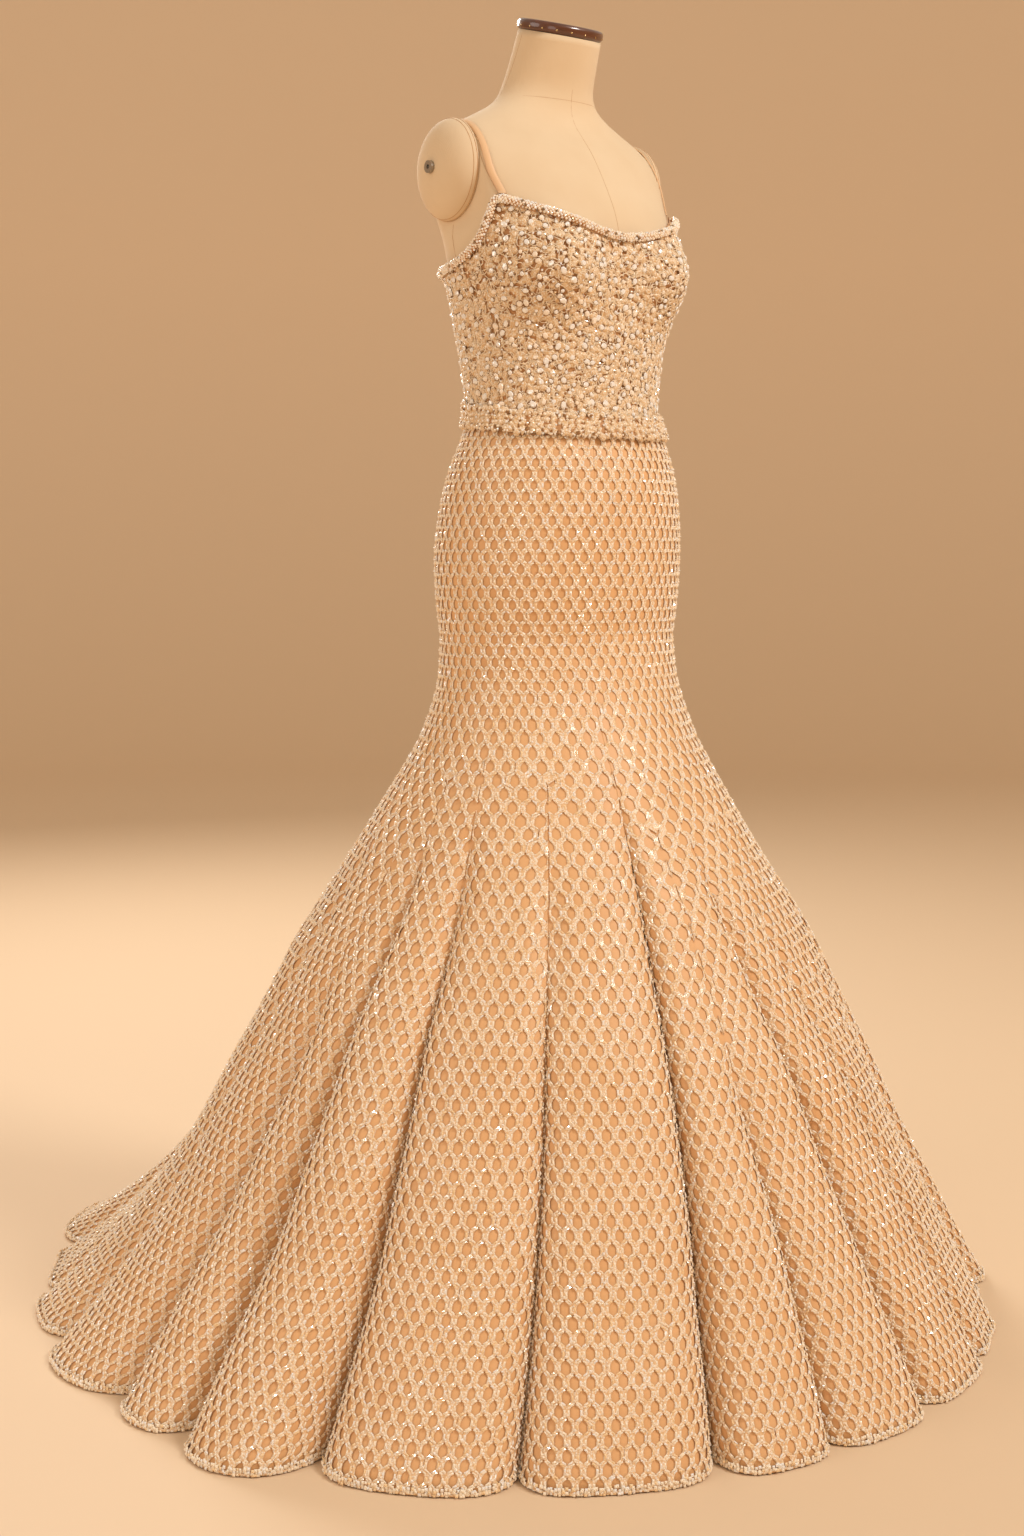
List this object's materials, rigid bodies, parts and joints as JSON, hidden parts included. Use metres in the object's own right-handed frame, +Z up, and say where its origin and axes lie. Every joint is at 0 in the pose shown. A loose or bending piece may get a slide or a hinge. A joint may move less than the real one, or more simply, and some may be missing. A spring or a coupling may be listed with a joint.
{
  "type": "evening gown on dress form",
  "caption": "Full-length beaded evening gown with a sweetheart bodice, thin straps, a flared skirt in gores and a short train, standing on a linen dress form.",
  "frame": {"origin": "centre of the underside of the dress form's base, on the floor below the pole", "axes": "+Z up along the pole, -Y the way the front of the gown faces, +X the wearer's left"},
  "size_m": [1.2176, 1.3739, 1.6105],
  "materials": {
    "beaded_lace": "beaded",
    "beaded_net": "beaded",
    "satin": "satin",
    "linen": "matte",
    "dark_wood": "varnished",
    "steel": "brushed",
    "iron": "satin"
  },
  "bodies": {
    "root": {"bodice_front": "beaded_lace", "bodice_back_left": "beaded_lace", "bodice_back_right": "beaded_lace", "waist_belt": "beaded_lace", "neckline_trim": "beaded_lace", "strap_left": "satin", "strap_right": "satin", "skirt_front": "beaded_net", "skirt_side_front_left": "beaded_net", "skirt_side_front_right": "beaded_net", "skirt_side_back_left": "beaded_net", "skirt_side_back_right": "beaded_net", "skirt_back_left": "beaded_net", "skirt_back_right": "beaded_net", "form_torso": "linen", "form_arm_plate_left": "linen", "form_arm_plate_right": "linen", "form_neck_cap": "dark_wood", "form_arm_fitting_left": "steel", "form_arm_fitting_right": "steel", "form_pole": "steel", "form_base": "iron"}
  },
  "joints": []
}
